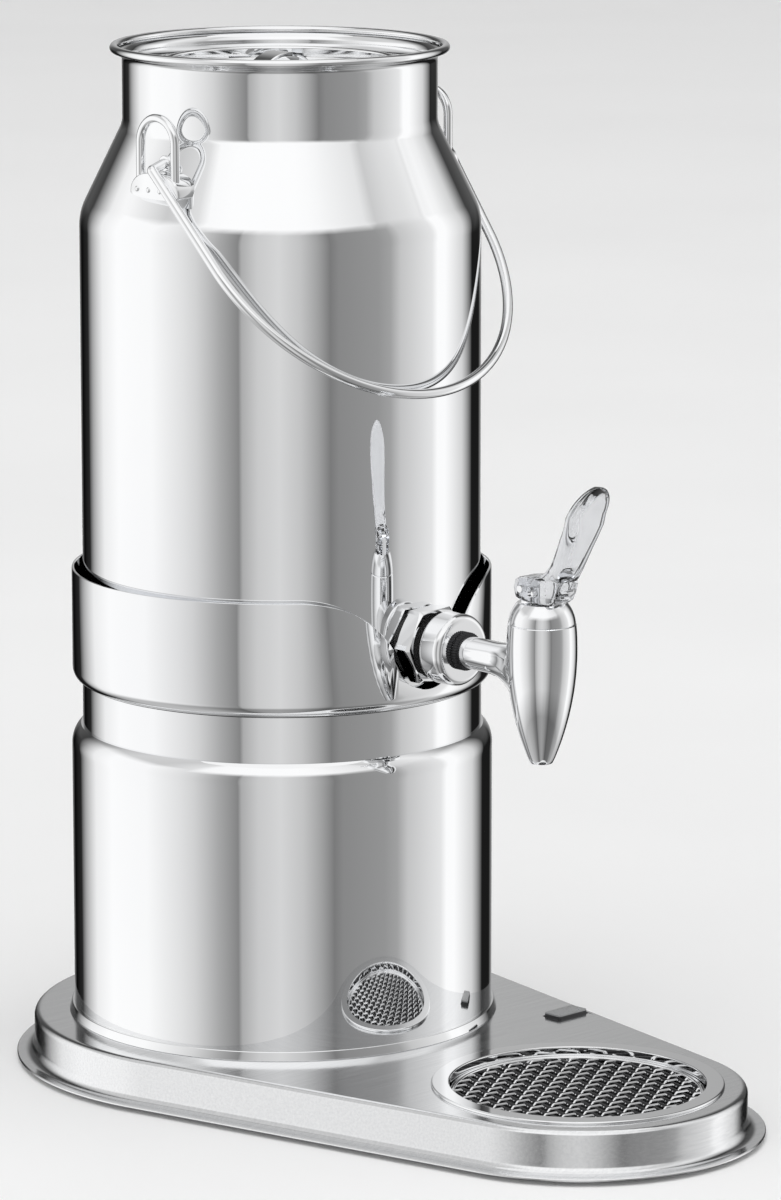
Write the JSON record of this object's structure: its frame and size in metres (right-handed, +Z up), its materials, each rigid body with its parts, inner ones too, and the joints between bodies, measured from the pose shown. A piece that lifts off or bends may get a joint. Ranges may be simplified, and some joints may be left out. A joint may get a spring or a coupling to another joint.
{
  "type": "chilled milk dispenser",
  "caption": "Milk can with lid, bail handle and lever tap standing in the collar of a fan-cooled steel housing on a pan with a drip tray and a push button.",
  "frame": {"origin": "middle of the pan's bounding box on the table plane under the rubber feet", "axes": "+Z up, the tap and the drip tray point along -Y, +X to the right seen from the back"},
  "size_m": [0.243, 0.3894, 0.462],
  "materials": {
    "brushed_steel": "fine brushed stainless steel",
    "polished_steel": "mirror polished stainless steel",
    "plain_steel": "bright drawn stainless steel",
    "aluminium": "plain mill finish",
    "black_plastic": "black moulded plastic",
    "rubber": "black food-grade rubber",
    "foam": "rigid white insulating foam",
    "ceramic": "white ceramic faces",
    "circuit_board": "green printed circuit board",
    "clear_acrylic": "clear cast acrylic",
    "button_metal": "grey satin push button"
  },
  "bodies": {
    "base": {"base_plate": "brushed_steel", "bottom_cover": "black_plastic", "rubber_feet": "rubber", "foot_screws": "plain_steel", "spacer_posts": "aluminium", "housing_shell": "polished_steel", "housing_screws": "plain_steel", "housing_trim": "polished_steel", "waist_ring": "polished_steel", "collar_cup": "polished_steel", "cold_plate": "aluminium", "insulation_ring": "foam", "peltier_module": "ceramic", "heat_sink": "aluminium", "sink_posts": "plain_steel", "fan_frame": "black_plastic", "fan_screws": "plain_steel", "control_board": "circuit_board", "board_posts": "aluminium", "power_inlet": "black_plastic", "inlet_nut": "plain_steel", "rear_vent_ring": "polished_steel", "rear_vent_mesh": "plain_steel", "button_frame": "black_plastic", "switch_body": "black_plastic"},
    "drip_cup": {"drip_cup": "polished_steel"},
    "drip_grid": {"drip_grid": "plain_steel"},
    "can": {"can_body": "polished_steel", "left_lug": "polished_steel", "right_lug": "polished_steel", "inner_seal": "rubber", "outer_seal": "rubber", "tap_backnut": "polished_steel", "tap_flange": "polished_steel", "tap_shank": "polished_steel", "coupling_nut": "polished_steel", "tap_body": "polished_steel", "tap_bonnet": "polished_steel", "tap_spring": "plain_steel"},
    "lid": {"lid_pan": "polished_steel", "lid_handle": "polished_steel", "lid_rivets": "plain_steel", "lid_seal": "rubber"},
    "bail": {"bail_handle": "polished_steel"},
    "lever": {"tap_lever": "clear_acrylic", "lever_pin": "plain_steel"},
    "stem": {"tap_stem": "plain_steel", "stem_pin": "plain_steel", "seat_cup": "rubber"},
    "rotor": {"fan_rotor": "black_plastic"},
    "button": {"power_button": "button_metal"}
  },
  "joints": [
    {"name": "can_lift", "type": "slide", "parent": "base", "child": "can", "axis": [0, 0, 1], "range_m": [0, 0.08]},
    {"name": "lid_lift", "type": "slide", "parent": "can", "child": "lid", "axis": [0, 0, 1], "range_m": [0, 0.1]},
    {"name": "bail_swing", "type": "hinge", "parent": "can", "child": "bail", "pos_m": [0, 0.06225, 0.416], "axis": [-1, 0, 0], "range_deg": [0, 250]},
    {"name": "lever_push", "type": "hinge", "parent": "can", "child": "lever", "pos_m": [0, -0.08325, 0.2383], "axis": [-1, 0, 0], "range_deg": [0, 25]},
    {"name": "stem_lift", "type": "slide", "parent": "can", "child": "stem", "axis": [0, 0, 1], "range_m": [0, 0.003], "deforming": ["tap_spring"]},
    {"name": "drip_cup_lift", "type": "slide", "parent": "base", "child": "drip_cup", "axis": [0, 0, 1], "range_m": [0, 0.05]},
    {"name": "drip_grid_lift", "type": "slide", "parent": "drip_cup", "child": "drip_grid", "axis": [0, 0, 1], "range_m": [0, 0.05]},
    {"name": "fan_spin", "type": "hinge", "parent": "base", "child": "rotor", "pos_m": [0, 0.07325, 0.098], "axis": [0, 0, 1], "continuous": true},
    {"name": "button_press", "type": "slide", "parent": "base", "child": "button", "axis": [0, 0, -1], "range_m": [0, 0.0012], "stiffness_N_per_m": 400}
  ],
  "couplings": [
    {"joint": "lever_push", "follows": "stem_lift", "rad_per_m": 145.4}
  ]
}
